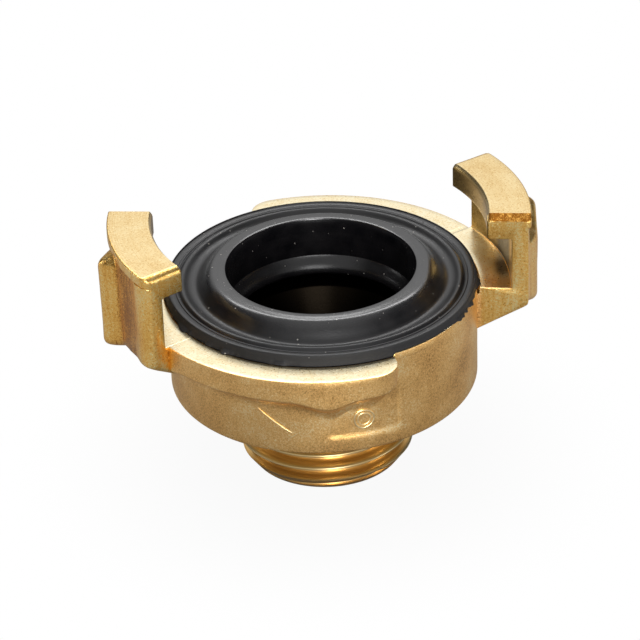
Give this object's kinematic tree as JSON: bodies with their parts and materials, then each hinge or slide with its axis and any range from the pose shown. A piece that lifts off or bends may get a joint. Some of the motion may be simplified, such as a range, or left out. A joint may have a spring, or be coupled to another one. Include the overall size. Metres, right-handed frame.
{
  "type": "claw hose coupling",
  "caption": "Brass quick hose coupling with two rigid claws, cam flanges, a rubber face seal and a male pipe thread spigot for a tap or pump outlet.",
  "frame": {"origin": "centre of the threaded spigot's end face, at the bottom centre of the part", "axes": "+Z along the water axis, from the thread towards the claws; the claws are centred on +X and -X"},
  "size_m": [0.0506, 0.044, 0.0324],
  "materials": {
    "brass": "forged, with machined faces and thread",
    "rubber": "moulded black rubber, soft sheen"
  },
  "bodies": {
    "root": {"coupling_body": "brass", "sealing_ring": "rubber"}
  },
  "joints": []
}
